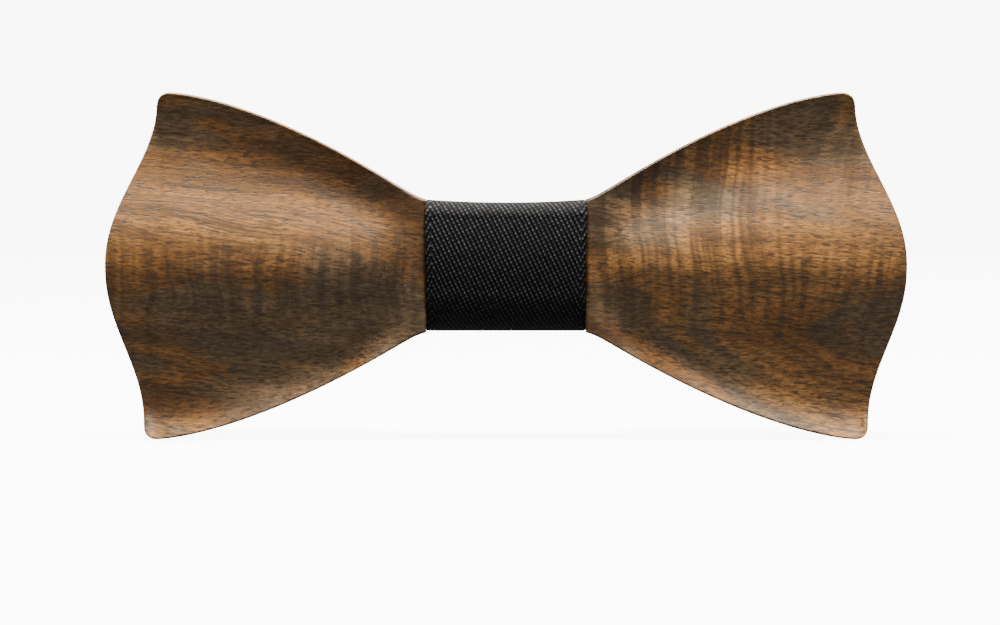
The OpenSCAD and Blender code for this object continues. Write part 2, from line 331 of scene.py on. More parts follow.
def walnut_material():
    """Varnished walnut: layered browns, olive patches, curly figure, dark hairlines, short pores and painted
    shade.

    Here and in the functions above, x, y and z are the place on the wood in millimetres.
    """
    s = Shader("walnut")
    mm = s.millimetres()
    x, y, z = s.parts(mm)

    # The growth layers dip a little to the right and wander. Low on the right wing they sweep down.
    wander = s.plus(s.noise(s.scaled(mm, (0.02, 0.05, 0.05))), -0.5)
    across = s.plus(z, s.times(x, 0.12), s.times(wander, 13.0))
    sweep = s.times(s.span(x, 12.0, 52.0, 0.0, 22.0, smooth=False), s.span(z, 2.0, -12.0))
    layers = s.joined(x, y, s.plus(across, sweep))
    # The fibres are straighter than the layers.
    fibres = s.joined(x, y, s.plus(z, s.times(x, 0.05), s.times(wander, 4.0)))

    broad = s.noise(s.scaled(layers, (0.016, 0.08, 0.085)), 3.0, 0.55)
    growth = s.noise(s.scaled(layers, (0.012, 0.3, 0.36)), 4.0, 0.6)
    fibre = s.noise(s.scaled(fibres, (0.75, 2.4, 3.0)), 3.0, 0.66)
    colour = s.mix(wood_olive(s, layers, x, z), s.ramp(broad, WALNUT_BROWNS), OLIVE)
    bands = s.span(growth, 0.36, 0.62, 0.62, 1.16)
    streaks = s.span(fibre, 0.36, 0.64, 0.48, 1.42, smooth=False)
    # The last factor paints shade along the crest.
    tone = s.times(bands, streaks, wood_curl(s, mm, x, z), wood_shade_and_tone(s, x, z))
    colour = s.mix(1.0, colour, s.joined(tone, tone, tone), "MULTIPLY")

    # Long dark hairlines, where a stretched noise crosses one level.
    line = s.noise(s.scaled(s.joined(x, y, across), (0.010, 0.4, 0.95)))
    hair = s.span(s.apart(line, 0.5), 0.0, 0.032, 1.0, 0.0)
    patchy = s.span(s.noise(s.scaled(mm, (0.05, 0.05, 0.16), offset=(9, 2, 4)), 1.0), 0.40, 0.54)
    colour = s.mix(s.times(hair, patchy, 0.75), colour, HAIRLINE)

    # Pores: short dark flecks along the grain.
    pore = s.span(s.noise(s.scaled(fibres, (0.62, 2.6, 3.4), offset=(3, 7, 1)), 1.0), 0.57, 0.64)
    colour = s.mix(s.times(pore, 0.70), colour, PORE)
    height = s.maths("SUBTRACT", s.times(fibre, 0.35), pore)
    s.set(
        Base_Color=colour,
        Roughness=s.span(fibre, 0.3, 0.7, 0.52, 0.38),
        Specular_IOR_Level=0.6,
        Specular_Tint=(1.0, 0.92, 0.78),
        Normal=s.bump(height, 0.02 * MM, 0.5),
    )
    return s.material


# The twill's ridges: how far apart they are, how much they lean, and how long the yarn's crowns are.
# SELVAGE_FROM is where the ridges turn back, measured from the band's middle.
WALE, WALE_LEAN, CROWN = 0.71 * MM, 0.49, 0.67 * MM
SELVAGE_FROM = 11.3 * MM


def twill_material():
    """Black twill of the knot: steep wales of yarn crowns, with a glint painted into their colour.

    UV is millimetres across the band and round its loop.
    """
    s = Shader("band_twill")
    uv = s.position("UV")
    u, v, _ = s.parts(uv)
    # Near the side edges the wales turn back, as in a herringbone.
    side = s.maths("ABSOLUTE", u)
    turned = s.maths("SUBTRACT", 2 * SELVAGE_FROM / MM, side)
    folded = s.times(s.maths("MINIMUM", side, turned), s.maths("SIGN", u))
    wale = s.maths("SINE", s.times(s.plus(folded, s.times(v, -WALE_LEAN)), 2 * math.pi * MM / WALE))
    along = s.plus(v, s.times(folded, 0.5 * CROWN / WALE))
    crowns = s.maths("SINE", s.times(along, 2 * math.pi * MM / CROWN))
    uneven = s.noise(s.scaled(uv, (1.7, 1.3, 1)), 2.0, 0.8)
    fuzz = s.noise(s.scaled(uv, (7, 7, 7)), 2.0, 0.6)
    # Painted highlight: the yarn crowns are painted lighter than the black between them.
    glint = s.times(s.span(wale, -0.1, 1.0), s.span(crowns, -0.7, 0.9, 0.10, 1.0))
    light = s.times(glint, s.span(uneven, 0.32, 0.68, 0.12, 1.5), s.span(fuzz, 0.3, 0.7, 0.6, 1.1))
    height = s.plus(s.times(wale, 0.5), s.times(glint, 0.5), s.times(fuzz, 0.3))
    s.set(
        Base_Color=s.mix(light, (0.0020, 0.0020, 0.0024), (0.125, 0.125, 0.130)),
        Roughness=s.span(fuzz, 0.2, 0.8, 0.66, 0.88),
        Specular_IOR_Level=0.2,
        Normal=s.bump(height, 0.07 * MM, 0.8),
    )
    return s.material


RIB_PITCH, WARP_PITCH = 0.8 * MM, 0.42 * MM


def ribbon_material():
    """Black ribbed ribbon of the neck strap. UV is millimetres along and across."""
    s = Shader("strap_ribbon")
    uv = s.position("UV")
    u, v, _ = s.parts(uv)
    rib = s.maths("COSINE", s.times(u, 2 * math.pi * MM / RIB_PITCH))
    warp = s.maths("SINE", s.times(v, 2 * math.pi * MM / WARP_PITCH))
    fuzz = s.noise(s.scaled(uv, (6, 6, 6)), 3.0, 0.6)
    # Painted highlight: the ribs' tops are painted lighter than the grooves between them.
    light = s.times(s.span(rib, -0.6, 1.0), s.span(fuzz, 0.3, 0.7, 0.35, 1.0))
    s.set(
        Base_Color=s.mix(light, (0.010, 0.010, 0.011), (0.050, 0.050, 0.054)),
        Roughness=s.span(fuzz, 0.2, 0.8, 0.5, 0.72),
        Sheen_Weight=0.2,
        Sheen_Roughness=0.4,
        Normal=s.bump(s.plus(s.times(warp, 0.5), s.times(fuzz, 0.6)), 0.05 * MM, 0.8),
    )
    return s.material


def thread_material():
    """Twisted black sewing thread."""
    s = Shader("sewing_thread")
    wave = s.feed_named(s.node("TexWave"), Vector=s.millimetres((0.4, 0.3, 0.8)), Scale=2.6, Distortion=0.4)
    twist = wave.outputs["Fac"]
    # Painted highlight: the twist's crests are painted lighter than its grooves.
    s.set(
        Base_Color=s.mix(twist, (0.012, 0.012, 0.013), (0.07, 0.07, 0.075)),
        Roughness=s.span(twist, 0.0, 1.0, 0.7, 0.45),
        Normal=s.bump(twist, 0.04 * MM, 0.8),
    )
    return s.material


def nickel_material():
    """Bright nickel plate with faint rubbing marks."""
    s = Shader("nickel_plate")
    mm = s.millimetres()
    rubs = s.noise(s.scaled(mm, (0.4, 3.0, 6.0)), 3.0, 0.6)
    cloud = s.noise(s.scaled(mm, (0.25, 0.25, 0.25)))
    s.set(
        Base_Color=s.mix(cloud, (0.76, 0.74, 0.70), (0.86, 0.85, 0.82)),
        Metallic=1.0,
        Roughness=s.span(rubs, 0.3, 0.75, 0.15, 0.26),
        Normal=s.bump(rubs, 0.001 * MM, 0.4),
    )
    return s.material


# ---------------------------------------------------------------- mesh tools


def mesh_piece(name, points, faces, material, uvs=None):
    """A smooth-shaded mesh object from points, faces and one UV for each point."""
    mesh = bpy.data.meshes.new(name)
    mesh.from_pydata([tuple(p) for p in points], [], [tuple(f) for f in faces])
    mesh.validate()
    mesh.shade_smooth()
    if uvs is not None:
        layer = mesh.uv_layers.new(name="Weave")
        corners = np.empty(len(mesh.loops), np.int32)
        mesh.loops.foreach_get("vertex_index", corners)
        layer.data.foreach_set("uv", np.asarray(uvs, np.float32)[corners].ravel())
    mesh.materials.append(material)
    piece = bpy.data.objects.new(name, mesh)
    bpy.context.scene.collection.objects.link(piece)
    return piece


def ring_faces(rings, around):
    """Quads between closed rings of points that follow each other."""
    faces = []
    for k in range(rings - 1):
        for j in range(around):
            a, b = k * around + j, k * around + (j + 1) % around
            faces.append((a, b, b + around, a + around))
    return faces


def end_caps(rings, around):
    """One face over the first ring and one over the last."""
    last = (rings - 1) * around
    return [tuple(reversed(range(around))), tuple(last + j for j in range(around))]


def tidy_normals(piece):
    """Merges doubled points and turns every face outwards."""
    bm = bmesh.new()
    bm.from_mesh(piece.data)
    bmesh.ops.remove_doubles(bm, verts=bm.verts, dist=0.002 * MM)
    bmesh.ops.recalc_face_normals(bm, faces=bm.faces)
    bm.to_mesh(piece.data)
    bm.free()


def lengths_along(line):
    """How far along a line each of its points is."""
    return np.concatenate([[0], np.cumsum(np.linalg.norm(np.diff(line, axis=0), axis=1))])


def arc_points(x, y, r, start, stop):
    """24 points along an arc, from one angle to another in degrees."""
    angles = np.radians(np.linspace(start, stop, 24))
    return [(x + r * math.cos(a), y + r * math.sin(a)) for a in angles]


def stand_in(piece, node, body):
    """Puts a piece in a CAD node's place, riding on a body."""
    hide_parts(node)
    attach(piece, body)


# ---------------------------------------------------------------- the wood

# These follow the CAD's carved body. A wing runs from the knot's side (s = 0) to its outer edge (s = 1), and
# from its bottom edge (t = -1) to its top edge (t = 1).
HALF_WIDTH = CAD_HIGH[0]
KNOT_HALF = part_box("knot_band")[1][0]
# How high a wing's corners are, and how far they lie in from its widest place.
TOP = dict(height=26.2 * MM, inset=7.4 * MM)
BOTTOM = dict(height=26.1 * MM, inset=5.4 * MM)
CORNER_R = 2 * MM
# How high the top and bottom edges start beside the knot, the least they may be, how steeply they rise, and
# how sharply the least height sets in.
EDGE_ROOT, EDGE_FLOOR, EDGE_POWER, EDGE_EASE = 9.5 * MM, 9.8 * MM, 1.53, 16
# How the outer edge swings in towards the corners.
FLARE_STOP, FLARE_POWER = 0.7 * MM, 1.1
# The valleys' places as shares of the half height, the relief's height on the bottom edge (1 is the ridge's),
# half the relief's depth as a share of the half height, and from where and over what distance it grows.
TOP_VALLEY, BOTTOM_VALLEY, LIP, RELIEF = 0.80, 0.69, 0.3, 0.11
RELIEF_FROM, RELIEF_OVER = 13 * MM, 8 * MM
# The wing's thickness, the thickness beside the knot, and the distance over which it thins out. WOOD_BACK is
# how far the valleys' back stays from the collar, at y = 0.
WING_T, SHOULDER_T, SHOULDER_OVER = 3.6 * MM, 5.7 * MM, 16 * MM
WOOD_BACK = 2.4 * MM
# How far in from the edges a wing's front and back are rounded, and how full the round is.
RIM_FRONT, RIM_BACK, RIM_POWER = 0.4 * MM, 1.2 * MM, 2.6
# The waist inside the knot: half its height, its thickness, its distance from the collar and its corners.
WAIST_HALF, WAIST_T, WAIST_BACK, WAIST_R = 8.9 * MM, 5.05 * MM, 2.7 * MM, 4.2 * MM
# Steps in the wood's mesh, from edge to edge and from the knot outwards.
ACROSS, ALONG = 120, 120


def smooth(v):
    """Eases a share from 0 to 1."""
    c = np.clip(v, 0, 1)
    return c * c * (3 - 2 * c)


def edge_height(x, height, inset):
    """Height of a wing's top or bottom edge at a distance from the centre, with its rounded corner."""
    corner = HALF_WIDTH - inset - CORNER_R
    before = np.maximum(corner - x, 0)
    slope = height - (height - EDGE_ROOT) * (before / (corner - KNOT_HALF)) ** EDGE_POWER
    slope = (np.maximum(slope, 0) ** EDGE_EASE + EDGE_FLOOR**EDGE_EASE) ** (1 / EDGE_EASE)
    past = np.clip(x - corner, 0, CORNER_R * math.sin(math.pi / 4))
    return np.where(x < corner, slope, height - CORNER_R + np.sqrt(CORNER_R**2 - past**2))


def outer_edge(z, height, inset):
    """Distance from the centre to a wing's outer edge at a height."""
    corner = HALF_WIDTH - inset - CORNER_R
    flared = HALF_WIDTH - inset * ((1 - np.cos(math.pi * z / (height - FLARE_STOP))) / 2) ** FLARE_POWER
    over = np.clip(z - height + CORNER_R, 0, CORNER_R)
    return np.where(z < height - CORNER_R, flared, corner + np.sqrt(CORNER_R**2 - over**2))


def top_or_bottom(rule, at, t):
    """A rule's value for the bottom half of a wing below the middle, and for the top half above it."""
    return np.where(t < 0, rule(at, **BOTTOM), rule(at, **TOP))


def wing_end(t):
    """Distance from the centre to a wing's outer edge at a share of its height."""
    corner_rise = CORNER_R * (1 - math.sin(math.pi / 4))
    reach = np.where(t < 0, BOTTOM["height"], TOP["height"]) - corner_rise
    return top_or_bottom(outer_edge, np.abs(t) * reach, t)


def carving(t):
    """Height of the carved relief, from the valleys at -1 to the ridge at 1."""
    a = np.abs(t)
    valley = np.where(t < 0, BOTTOM_VALLEY, TOP_VALLEY)
    lip = -1 + (1 + LIP) * (1 - np.cos(math.pi / 2 * (a - valley) / (1 - BOTTOM_VALLEY)))
    return np.where(a < valley, np.cos(math.pi * a / valley), lip)


def rounding(from_edge, r, power=2.0):
    """How full a round is, from 0 on the edge to 1 once it is r away."""
    return (1 - (1 - np.clip(from_edge / r, 0, 1)) ** power) ** (1 / power)


def wing_section(s, t, front):
    """Points of a wing's front (front = 1) or back (front = -1)."""
    end = wing_end(t)
    x = KNOT_HALF + s * (end - KNOT_HALF)
    reach = top_or_bottom(edge_height, x, t)
    mean = (edge_height(x, **TOP) + edge_height(x, **BOTTOM)) / 2
    rise = RELIEF * mean * smooth((x - RELIEF_FROM) / RELIEF_OVER) * (1 + carving(t))
    thick = WING_T + (SHOULDER_T - WING_T) * (1 - smooth((x - KNOT_HALF) / SHOULDER_OVER))
    from_edge = np.minimum((1 - np.abs(t)) * reach, (1 - s) * (end - KNOT_HALF))
    middle = WOOD_BACK + rise + thick / 2
    edge = rounding(from_edge, RIM_FRONT if front > 0 else RIM_BACK, RIM_POWER)
    return np.stack([x, -middle - front * thick / 2 * edge, t * reach], axis=-1)


def waist_section(t, front):
    """Points of the waist where the knot ends."""
    edge = rounding((1 - np.abs(t)) * WAIST_HALF, WAIST_R)
    y = -WAIST_BACK - WAIST_T / 2 - front * WAIST_T / 2 * edge
    return np.stack([np.full_like(t, KNOT_HALF), y, t * WAIST_HALF], axis=-1)


def add_wood(material):
    """Both wings and the waist as one closed skin of rings, from the left outer edge to the right one."""
    t = np.sin(np.linspace(-math.pi / 2, math.pi / 2, ACROSS + 1))
    s_steps = np.sin(np.linspace(0, math.pi / 2, ALONG + 1))

    def ring(section):
        return np.concatenate([section(t, 1), section(t[::-1], -1)[1:-1]])

    right = [ring(lambda u, f, s=s: wing_section(np.full_like(u, s), u, f)) for s in s_steps]
    waist = ring(waist_section)
    mirror = np.array([-1, 1, 1])
    rings = [r * mirror for r in reversed(right)] + [waist * mirror, waist] + right
    around = len(waist)
    points = np.concatenate(rings)
    faces = ring_faces(len(rings), around)
    far = (len(rings) - 1) * around
    for j in range(1, ACROSS):
        a, b, c, d = j, j + 1, (around - j - 1) % around, (around - j) % around
        faces.append((a, d, c, b))
        faces.append((far + a, far + b, far + c, far + d))
    faces.append((0, around - 1, 1))
    faces.append((far, far + 1, far + around - 1))
    piece = mesh_piece("bow_wood", points, faces, material)
    tidy_normals(piece)
    return piece


# ---------------------------------------------------------------- the knot

# The radii of the loop's corners at the top and bottom of its front and at its back, and the front's bulge.
TOP_R, UNDER_R, BACK_R, BULGE = 2.6 * MM, 6.5 * MM, 1.8 * MM, 0.35 * MM
# How close the points round the loop are, and how many rings the cloth's face and lining have.
CLOTH_STEP, FACE_RINGS, LINING_RINGS = 0.15 * MM, 215, 12
# The cloth's thickness, the radius of its folded sides, half the height of its ridges, and how far in the
# lining starts.
CLOTH_T, SIDE_FOLD, RIDGE, LINING_IN = 0.95 * MM, 0.42 * MM, 0.035 * MM, 0.05 * MM
# How much the sides wave, and how far the middle of the top sags.
SIDE_WAVE, TOP_SAG = 0.16 * MM, 0.45 * MM


def rounded_loop(low_y, high_y, half_z):
    """Evenly spaced points round a rounded rectangle in the YZ plane, with a bulged front."""
    back = high_y - BACK_R
    corners = arc_points(back, -half_z + BACK_R, BACK_R, -90, 0)
    corners += arc_points(back, half_z - BACK_R, BACK_R, 0, 90)
    corners += arc_points(low_y + TOP_R, half_z - TOP_R, TOP_R, 90, 180)
    # The front, with its bulge, between the two front corners.
    steps = np.linspace(-1, 1, 40)[1:-1]
    middle, span = (UNDER_R - TOP_R) / 2, half_z - (UNDER_R + TOP_R) / 2
    corners += [(low_y - BULGE * (1 - v**2), middle - span * v) for v in steps]
    corners += arc_points(low_y + UNDER_R, -half_z + UNDER_R, UNDER_R, 180, 270)
    line = np.array(corners + corners[:1])
    along = lengths_along(line)
    count = int(round(along[-1] / CLOTH_STEP))
    at = np.linspace(0, along[-1], count + 1)[:-1]
    return np.stack([np.interp(at, along, line[:, i]) for i in (0, 1)], axis=1), at, along[-1]


def add_knot(material):
    """The twill band: a loop of cloth with folded sides and fine diagonal ridges. Its front turns under."""
    low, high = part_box("knot_band")
    outer, at, length = rounded_loop(low[1], high[1], high[2])
    before, after = np.roll(outer, 1, axis=0), np.roll(outer, -1, axis=0)
    tangent = after - before
    normal = np.stack([tangent[:, 1], -tangent[:, 0]], axis=1)
    normal /= np.linalg.norm(normal, axis=1)[:, None]
    half, around = KNOT_HALF, len(at)
    points, uvs = [], []

    def ring(x, sunk):
        """One ring of the loop at x, sunk into the cloth all round or point by point."""
        side = SIDE_WAVE * math.copysign(1, x) * np.sin(at / length * 4 * math.pi + 1)
        sag = TOP_SAG * (1 - (x / half) ** 2) * np.clip((outer[:, 1] / high[2]) ** 3, 0, 1)
        y, z = (outer - normal * np.broadcast_to(sunk, around)[:, None]).T
        points.extend(np.stack([x + side * (abs(x) / half) ** 6, y, z - sag], axis=1))
        uvs.extend(np.stack([np.full(around, x / MM), at / MM], axis=1))

    for x in np.linspace(-half, half, FACE_RINGS):
        edge = min((half - abs(x)) / SIDE_FOLD, 1)
        round_off = (1 - math.sqrt(1 - (1 - edge) ** 2)) * SIDE_FOLD
        # Near the sides the ridges turn back, as they do in the material.
        folded = math.copysign(min(abs(x), 2 * SELVAGE_FROM - abs(x)), x)
        ring(x, round_off - RIDGE * np.sin(2 * math.pi * (folded - WALE_LEAN * at) / WALE))
    inside = half - LINING_IN
    for x in np.linspace(inside, -inside, LINING_RINGS):
        ring(x, CLOTH_T)
    count = len(points) // around
    faces = ring_faces(count, around)
    last = (count - 1) * around
    faces += [(last + j, last + (j + 1) % around, (j + 1) % around, j) for j in range(around)]
    piece = mesh_piece("knot_cloth", points, faces, material, uvs)
    tidy_normals(piece)
    return piece, length


# ---------------------------------------------------------------- the strap


def middle_y(node):
    """The middle of a CAD node's box, front to back."""
    low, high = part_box(node)
    return (low[1] + high[1]) / 2


# The ribbon's size and layers come from the CAD. Its middle runs through the knot from one outer fold to the
# other. Three more layers lie behind each wing, folded at OUTER and INNER.
STRAP_LOW, STRAP_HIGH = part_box("strap_centre")
STRAP_T = STRAP_HIGH[1] - STRAP_LOW[1]
STRAP_W = STRAP_HIGH[2] - STRAP_LOW[2]
OUTER = STRAP_HIGH[0]
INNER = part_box("right_strap_one")[0][0]
STRAP_Y = middle_y("strap_centre")
LAYERS = [middle_y("right_strap_one"), middle_y("right_strap_two"), middle_y("right_strap_lead")]
# TURN_R is the radius of the ribbon's middle round a metal bar. UNDER is where its returning part lies.
METAL_T = 1.0 * MM
BAR_R = METAL_T / 2
GAP = 0.1 * MM
TURN_R = BAR_R + GAP + STRAP_T / 2
UNDER = middle_y("right_strap_return")
# The width of the cord along the ribbon's edges, and how much its straight layers wave.
EDGE_CORD = 0.8 * MM
LAYER_WAVE, CENTRE_WAVE = 0.16 * MM, 0.12 * MM


def eased(path):
    """Cuts a path's corners twice, so that cloth bends instead of creasing."""
    line = [np.array(p) for p in path]
    for _ in range(2):
        cut = [line[0]]
        for a, b in zip(line, line[1:]):
            cut += [0.75 * a + 0.25 * b, 0.25 * a + 0.75 * b]
        line = cut + [line[-1]]
    return [tuple(p) for p in line]


def spaced(path, step):
    """Evenly spaced points along a path, their distances along it, and the normals beside them."""
    line = np.array(path)
    along = lengths_along(line)
    at = np.linspace(0, along[-1], max(3, int(along[-1] / step) + 1))
    middle = np.stack([np.interp(at, along, line[:, i]) for i in (0, 1)], axis=1)
    tangent = np.gradient(middle, axis=0)
    tangent /= np.linalg.norm(tangent, axis=1)[:, None]
    return middle, at, np.stack([-tangent[:, 1], tangent[:, 0]], axis=1)


def strip_mesh(name, middle, normal, sections, material, uvs=None):
    """A strip that stands on its edge along Z: one (z, n) section at each point of a line in the XY plane."""
    points = []
    for place, side, section in zip(middle, normal, sections):
        points += [(place[0] + side[0] * n, place[1] + side[1] * n, z) for z, n in section]
    size = len(sections), len(sections[0])
    piece = mesh_piece(name, points, ring_faces(*size) + end_caps(*size), material, uvs)
    tidy_normals(piece)
    return piece


def round_edge(half_w, half_t):
    """A quarter of a round edge, from its tip to its top."""
    turns = np.radians((0, 30, 60, 90))
    return [(half_w - half_t + half_t * math.cos(a), half_t * math.sin(a)) for a in turns]


def ribbon_section(rib):
    """Half a round edge cord, a groove, the ribbed middle that swells by rib, and the same again behind."""
    half_t, half_w = STRAP_T / 2, STRAP_W / 2
    cord = round_edge(half_w, half_t)
    cord += [(half_w - 0.75 * EDGE_CORD, 0.94 * half_t), (half_w - EDGE_CORD, 0.78 * half_t)]
    inner = half_w - 1.25 * EDGE_CORD
    front = cord + [(z, half_t * rib) for z in np.linspace(inner, -inner, 9)]
    front += [(-z, n) for z, n in reversed(cord)]
    return front + [(z, -n) for z, n in reversed(front[1:-1])]


def add_ribbon(name, path, start, wave=0.0):
    """A stretch of ribbed ribbon along a path, and its length. start is how far along the strap it begins."""
    middle, at, normal = spaced(path, RIB_PITCH / 6)
    length = at[-1]
    # A slow wave that dies out at both ends.
    sag = wave * np.sin(math.pi * at / length) * np.sin(2.2 * math.pi * at / length + 0.6)
    middle = middle + normal * sag[:, None]
    along = at + start
    # Between the ribs the ribbon is four fifths as thick as on them.
    ribs = 0.90 + 0.10 * np.cos(2 * math.pi * along / RIB_PITCH)
    sections = [ribbon_section(rib) for rib in ribs]
    uvs = [(u / MM, z / MM) for u, section in zip(along, sections) for z, _ in section]
    piece = strip_mesh(name, middle, normal, sections, ribbon, uvs)
    return piece, length


def mirrored(path, side):
    """A path behind the right wing (side = 1), or its mirror image behind the left one (side = -1)."""
    return [(side * x, y) for x, y in path]


def fold(x, low, high):
    """A half turn between two layers."""
    return arc_points(x, (low + high) / 2, (high - low) / 2, -90, 90)


def add_folded_side(side, word, bodies, first):
    """The zigzag behind one wing: the folds and the two lower layers.

    Returns how far along the strap its end is, and the fold that joins it to the strap's middle.
    """
    low, one, two, three = STRAP_Y, *LAYERS
    inner_turn = [(2 * INNER - x, y) for x, y in fold(INNER, one, two)]
    # Name, path and bodies of each stretch. A fold has two bodies. It also has its place along the wing
    # and the two layers that it joins.
    stretches = (
        ("fold_one", fold(OUTER, low, one), bodies[:2], (OUTER, low, one)),
        ("strap_one", [(OUTER, one), (INNER, one)], bodies[1:2], None),
        ("fold_two", inner_turn, bodies[1:3], (INNER, one, two)),
        ("strap_two", [(INNER, two), (OUTER, two)], bodies[2:3], None),
        ("fold_three", fold(OUTER, two, three), bodies[2:], (OUTER, two, three)),
    )
    start, folds, runs = first, [], []
    for stretch, path, riding, turn in stretches:
        node = f"{word}_{stretch}"
        wave = 0.0 if turn else LAYER_WAVE
        piece, length = add_ribbon(f"{node}_ribbon", mirrored(path, side), start, wave)
        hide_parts(node)
        start += length
        if turn:
            x, a, b = turn
            a, b = a + STRAP_T / 2, b - STRAP_T / 2
            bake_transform(piece)
            folds.append(piece)
        else:
            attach(piece, *riding)
            runs.append((piece, length))
    return start, folds[0]


def add_left_end(start):
    """The third layer behind the left wing: out to the eye's bar, round it and back to where it is sewn."""
    three, sewn = LAYERS[2], LAYERS[2] + STRAP_T + GAP
    path = [(OUTER, three), (EYE_X + 1 * MM, three)]
    path += arc_points(EYE_X, EYE_Y, TURN_R, 270, 90)
    path += [(EYE_X + 0.6 * MM, EYE_Y + TURN_R)]
    path += [(EYE_X + reach, sewn) for reach in (3 * MM, 4 * MM, 9 * MM)]
    piece, length = add_ribbon("left_end_ribbon", mirrored(eased(path), -1), start)
    stand_in(piece, "left_strap_end", "left_third_layer")
    return start + length


def add_right_end(start):
    """The adjuster: over the slide's middle bar, out to the hook's bar and back to the middle bar."""
    three = LAYERS[2]
    over = SLIDE_Y + TURN_R + STRAP_T + GAP
    lead_end = SLIDE_BARS[0] + FRAME_W
    mid, last = SLIDE_BARS[1:]
    slide_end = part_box("right_strap_return")[1][0]
    loop_end = HOOK_X + 1 * MM

    # In front of the slide's first bar, behind its middle bar and in front of its last one.
    running = [(lead_end, three), (SLIDE_BARS[0] - 0.8 * MM, three), (mid + 1.6 * MM, over - 0.6 * MM)]
    running += [(mid + 0.8 * MM, over), (mid - 0.8 * MM, over), (mid - 1.6 * MM, over - 0.6 * MM)]
    running += [(last + 0.8 * MM, three), (slide_end + 0.5 * MM, three), (slide_end, three)]
    # On to the hook's bar and round it.
    reach = [(slide_end, three), (slide_end - 0.5 * MM, three)]
    reach += [(HOOK_X + 2 * MM, HOOK_Y + TURN_R), (loop_end, HOOK_Y + TURN_R)]
    loop = [(loop_end, HOOK_Y + TURN_R), *arc_points(HOOK_X, HOOK_Y, TURN_R, 90, 270)]
    loop += [(loop_end, HOOK_Y - TURN_R)]
    # Back in front of the running part, and round the middle bar, where the end is sewn.
    sewn = [(slide_end, UNDER), (last + 0.9 * MM, UNDER), (mid - 1.4 * MM, three), (mid - 0.2 * MM, three)]
    sewn += arc_points(mid, SLIDE_Y, TURN_R, -90, 90)
    sewn += [(mid - 0.6 * MM, SLIDE_Y + TURN_R), (mid - 1.4 * MM, SLIDE_Y + TURN_R - 0.35 * MM)]

    pieces, lengths = {}, {}
    for name, node, path in (
        ("right_lead_ribbon", "right_strap_lead", [(OUTER, three), (lead_end, three)]),
        ("right_running_ribbon", "right_strap_weave", eased(running)),
        ("right_reach_ribbon", "right_strap_reach", eased(reach)),
        ("right_loop_ribbon", "right_strap_loop", loop),
        ("right_return_ribbon", "right_strap_return", [(loop_end, UNDER), (slide_end, UNDER)]),
        ("right_sewn_ribbon", "right_strap_weave", eased(sewn)),
    ):
        pieces[name], lengths[name] = add_ribbon(name, path, start)
        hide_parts(node)
        start += lengths[name]
    for name, body, other, x0, x1 in (
        ("right_lead_ribbon", "right_third_layer", "adjuster", OUTER, lead_end),
        ("right_reach_ribbon", "adjuster", "hook_loop", slide_end, loop_end),
        ("right_return_ribbon", "adjuster", "hook_loop", slide_end, loop_end),
    ):
        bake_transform(pieces[name])
    for name, body in (
        ("right_running_ribbon", "adjuster"),
        ("right_sewn_ribbon", "adjuster"),
        ("right_loop_ribbon", "hook_loop"),
    ):
        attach(pieces[name], body)
    main = pieces.pop("right_running_ribbon")
    return start


# ---------------------------------------------------------------- stitches

# How many sides a thread has, and how thick its end points are as shares of its middle.
THREAD_SIDES, THREAD_ENDS = 8, (0.45, 0.85, 1.0)
# Half the width and half the length of a zigzag across the ribbon, and how many stitches it has.
TACK_REACH, TACK_HALF, TACK_STITCHES = 0.6 * MM, 6.5 * MM, 30
# How many stitches the knot's seam has, and how long they are.
SEAM_STITCHES, SEAM_STITCH = 9, 1.6 * MM


def add_threads(name, stitches, radius):
    """Round threads along lists of 3D points, with tapered ends."""
    sides = THREAD_SIDES
    turns = np.linspace(0, 2 * math.pi, sides, endpoint=False)
    points, faces = [], []
    for stitch in stitches:
        line = np.array(stitch)
        tangent = np.gradient(line, axis=0)
        tangent /= np.linalg.norm(tangent, axis=1)[:, None]
        across = np.cross(tangent, (0, 1, 0))
        across /= np.linalg.norm(across, axis=1)[:, None]
        other = np.cross(tangent, across)
        base, count = len(points), len(line)
        for k in range(count):
            r = radius * THREAD_ENDS[min(k, count - 1 - k, 2)]
            points += [line[k] + r * (math.cos(a) * across[k] + math.sin(a) * other[k]) for a in turns]
        thread_faces = ring_faces(count, sides) + end_caps(count, sides)
        faces += [tuple(base + i for i in face) for face in thread_faces]
    piece = mesh_piece(name, points, faces, thread)
    tidy_normals(piece)
    return piece


def arch(a, b, face, proud, sunk):
    """A stitch from a to b (x, z) that leaves the cloth's face, at y, by proud and ends sunk in it."""
    share = np.linspace(0, 1, 9)
    height = -sunk + (proud + sunk) * np.sin(math.pi * share) ** 0.5
    return [(a[0] + (b[0] - a[0]) * t, face + h, a[1] + (b[1] - a[1]) * t) for t, h in zip(share, height)]


def tack(x, face, direction):
    """A dense zigzag across the strap, that bulges to the back (direction = 1) or the front (-1)."""
    count = TACK_STITCHES
    ends = [(x + TACK_REACH * (-1) ** k, TACK_HALF * (2 * k / count - 1)) for k in range(count + 1)]
    return [arch(a, b, face, direction * 0.12 * MM, direction * 0.06 * MM) for a, b in zip(ends, ends[1:])]


